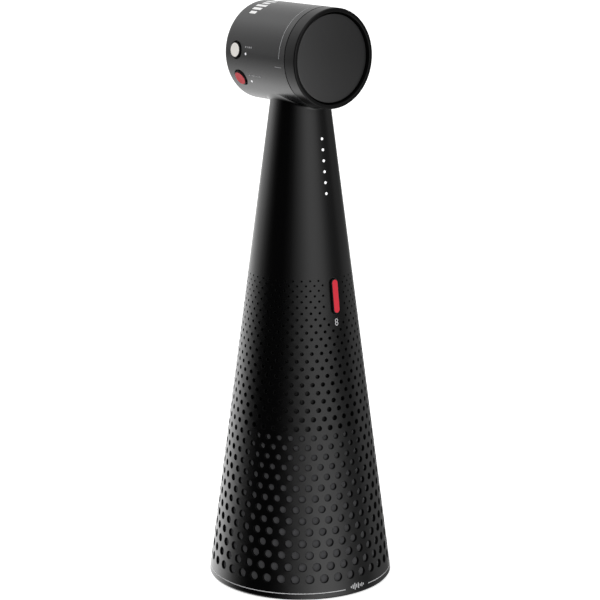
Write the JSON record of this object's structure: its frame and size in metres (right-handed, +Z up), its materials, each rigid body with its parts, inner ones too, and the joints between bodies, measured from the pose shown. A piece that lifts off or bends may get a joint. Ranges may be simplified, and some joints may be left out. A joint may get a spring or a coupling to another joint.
{
  "type": "conference speakerphone",
  "caption": "Conference speakerphone: a tall perforated cone with a cylindrical head, a turning volume knob with a press disc, side call buttons and a front pairing key.",
  "frame": {"origin": "centre of the footprint, on the surface that the rubber foot stands on", "axes": "+Z up along the cone's axis; -Y is the front, where the knob, the level lights and the pairing key are; the call buttons are on -X and the sockets on +Y"},
  "size_m": [0.0958, 0.0958, 0.2983],
  "materials": {
    "shell_black": "fine satin",
    "head_grey": "satin",
    "knob_graphite": "satin",
    "disc_graphite": "satin",
    "cap_grey": "fine grained",
    "foot_rubber": "matt",
    "inner_plastic": "matt moulded",
    "screw_steel": "zinc plated",
    "cloth": "fine weave",
    "backing_film": "matt",
    "circuit_board": "solder mask",
    "chip_black": "moulded epoxy",
    "tin": "tin plated",
    "jack_black": "moulded",
    "cone_paper": "pressed paper",
    "roll_rubber": "satin",
    "copper": "enamelled wire",
    "magnet_steel": "nickel plated",
    "cell_sleeve": "shrink sleeve",
    "clear_guide": "clear acrylic",
    "lamp_white": "ceramic",
    "button_white": "satin",
    "button_red": "satin",
    "cap_red": "satin",
    "cable_sleeve": "matt"
  },
  "bodies": {
    "housing": {"cone_shell": "shell_black", "rubber_foot": "foot_rubber", "base_plate": "inner_plastic", "base_screws": "screw_steel", "sound_deflector": "inner_plastic", "port_panel": "cap_grey", "port_board": "circuit_board", "usb_socket": "tin", "audio_in_jack": "jack_black", "audio_out_jack": "jack_black", "acoustic_cloth": "cloth", "grille_backing": "backing_film", "speaker_cabinet": "inner_plastic", "speaker_baffle": "inner_plastic", "driver_basket": "tin", "driver_surround": "roll_rubber", "driver_cone": "cone_paper", "voice_coil": "copper", "driver_magnet": "magnet_steel", "driver_screws": "screw_steel", "left_radiator": "roll_rubber", "right_radiator": "roll_rubber", "inner_frame": "inner_plastic", "frame_screws": "screw_steel", "left_battery_cell": "cell_sleeve", "right_battery_cell": "cell_sleeve", "battery_bracket": "inner_plastic", "main_board": "circuit_board", "board_parts": "chip_black", "radio_shield": "tin", "board_screws": "screw_steel", "button_frame": "inner_plastic", "pairing_switch": "chip_black", "pairing_board": "circuit_board", "light_guide": "clear_guide", "light_chips": "lamp_white", "light_board": "circuit_board", "neck_bracket": "inner_plastic", "neck_screws": "screw_steel", "head_tube": "head_grey", "rear_disc": "cap_grey", "mic_board": "circuit_board", "mic_capsules": "tin", "mic_gasket": "foot_rubber", "button_carrier": "inner_plastic", "side_switches": "chip_black", "side_boards": "circuit_board", "status_pipes": "clear_guide", "front_bulkhead": "inner_plastic", "knob_retainer": "inner_plastic", "front_board": "circuit_board", "mute_switch": "chip_black", "head_cable": "cable_sleeve"},
    "volume_knob": {"knob_ring": "knob_graphite", "encoder_magnet": "magnet_steel"},
    "mute_disc": {"centre_disc": "disc_graphite"},
    "call_button": {"white_button": "button_white"},
    "end_button": {"red_button": "button_red"},
    "pairing_key": {"pairing_button": "inner_plastic", "pairing_cap": "cap_red"}
  },
  "joints": [
    {"name": "knob_turn", "type": "hinge", "parent": "housing", "child": "volume_knob", "pos_m": [0, -0.0225, 0.2733], "axis": [0, 1, 0], "continuous": true},
    {"name": "disc_press", "type": "slide", "parent": "housing", "child": "mute_disc", "axis": [0, 1, 0], "range_m": [0, 0.0006], "stiffness_N_per_m": 2000},
    {"name": "call_press", "type": "slide", "parent": "housing", "child": "call_button", "axis": [0.9968, 0, -0.0802], "range_m": [0, 0.0005], "stiffness_N_per_m": 2000},
    {"name": "end_press", "type": "slide", "parent": "housing", "child": "end_button", "axis": [0.8738, 0, 0.4863], "range_m": [0, 0.0005], "stiffness_N_per_m": 2000},
    {"name": "pairing_press", "type": "slide", "parent": "housing", "child": "pairing_key", "axis": [0, 0.9915, -0.13], "range_m": [0, 0.0007], "stiffness_N_per_m": 2000}
  ]
}
